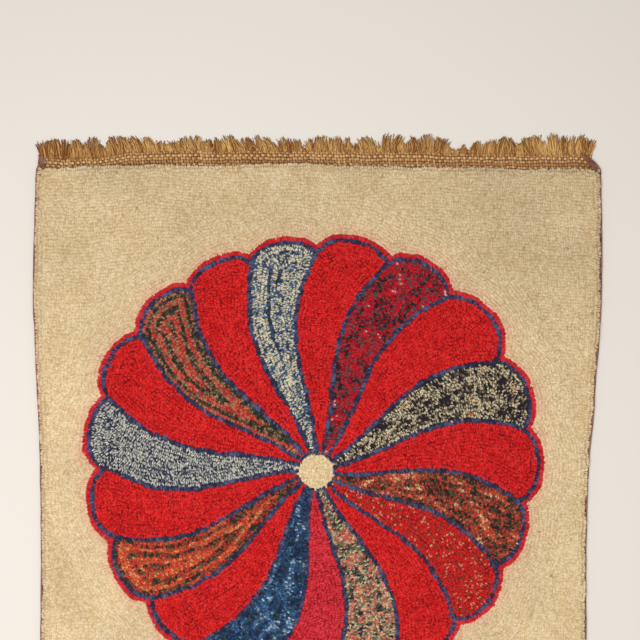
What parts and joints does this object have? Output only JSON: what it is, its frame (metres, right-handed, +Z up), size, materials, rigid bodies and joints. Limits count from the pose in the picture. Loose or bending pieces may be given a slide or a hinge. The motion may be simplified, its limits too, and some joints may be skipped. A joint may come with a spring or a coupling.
{
  "type": "hooked rug",
  "caption": "Flat hooked rug: wool loops on a hessian backing with a whirling petal rosette on a cream ground, frayed bare ends and tape-bound sides.",
  "frame": {"origin": "on the floor, under the middle of the rug", "axes": "+Z up out of the pile, +Y along the rug's length towards the far frayed end, +X across it to the right"},
  "size_m": [0.61, 0.7182, 0.008],
  "materials": {
    "wool_loops": "matt wool loops, cream ground with red, navy and mixed yarns",
    "hessian": "coarse open plain weave of jute, straw brown",
    "tape": "plain cotton tape, faded plum brown"
  },
  "bodies": {
    "root": {"hooked_field": "wool_loops", "frayed_end_far": "hessian", "frayed_end_near": "hessian", "binding_left": "tape", "binding_right": "tape"}
  },
  "joints": []
}
